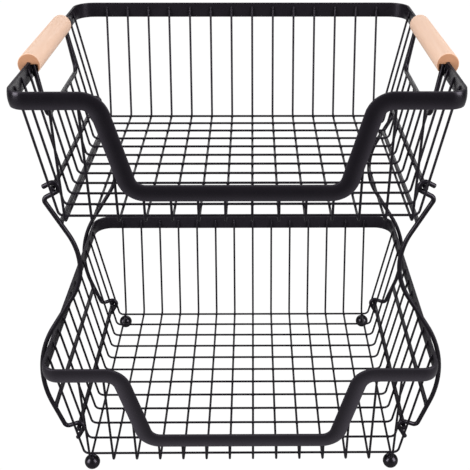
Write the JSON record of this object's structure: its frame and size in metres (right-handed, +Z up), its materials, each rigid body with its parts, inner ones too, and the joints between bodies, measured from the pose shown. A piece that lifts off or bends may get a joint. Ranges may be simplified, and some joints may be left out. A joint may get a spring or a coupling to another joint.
{
  "type": "tiered wire basket",
  "caption": "Tiered wire basket: leaning wire trays with flat rims dipped low at the front, stacked on hooked bent-rod side frames, with wooden carrying grips on the upper tray.",
  "frame": {"origin": "on the ground, midway between the ball feet", "axes": "+X to the right, +Y to the back, away from the dipped fronts, +Z up"},
  "size_m": [0.4246, 0.3595, 0.4417],
  "materials": {
    "frame_paint": "satin black powder coat",
    "foot_paint": "gloss black",
    "grip_wood": "satin, pale beech"
  },
  "bodies": {
    "lower_tray_and_frames": {"front_left_foot": "foot_paint", "front_right_foot": "foot_paint", "left_front_leg": "frame_paint", "left_lower_crossbar": "frame_paint", "left_rear_leg": "frame_paint", "left_upper_crossbar": "frame_paint", "lower_cross_wires_1": "frame_paint", "lower_cross_wires_2": "frame_paint", "lower_cross_wires_3": "frame_paint", "lower_cross_wires_4": "frame_paint", "lower_cross_wires_5": "frame_paint", "lower_cross_wires_6": "frame_paint", "lower_left_rail": "frame_paint", "lower_long_wires_1": "frame_paint", "lower_long_wires_2": "frame_paint", "lower_long_wires_3": "frame_paint", "lower_long_wires_4": "frame_paint", "lower_long_wires_5": "frame_paint", "lower_long_wires_6": "frame_paint", "lower_long_wires_7": "frame_paint", "lower_right_rail": "frame_paint", "lower_rim": "frame_paint", "rear_left_foot": "foot_paint", "rear_right_foot": "foot_paint", "right_front_leg": "frame_paint", "right_lower_crossbar": "frame_paint", "right_rear_leg": "frame_paint", "right_upper_crossbar": "frame_paint"},
    "upper_tray": {"upper_cross_wires_1": "frame_paint", "upper_cross_wires_2": "frame_paint", "upper_cross_wires_3": "frame_paint", "upper_cross_wires_4": "frame_paint", "upper_cross_wires_5": "frame_paint", "upper_cross_wires_6": "frame_paint", "upper_left_grip": "grip_wood", "upper_left_hand_frame": "frame_paint", "upper_left_rail": "frame_paint", "upper_long_wires_1": "frame_paint", "upper_long_wires_2": "frame_paint", "upper_long_wires_3": "frame_paint", "upper_long_wires_4": "frame_paint", "upper_long_wires_5": "frame_paint", "upper_long_wires_6": "frame_paint", "upper_long_wires_7": "frame_paint", "upper_right_grip": "grip_wood", "upper_right_hand_frame": "frame_paint", "upper_right_rail": "frame_paint", "upper_rim": "frame_paint"}
  },
  "joints": [
    {"name": "tray_lift", "type": "slide", "parent": "lower_tray_and_frames", "child": "upper_tray", "axis": [0, 0, 1], "range_m": [0, 0.3]}
  ]
}
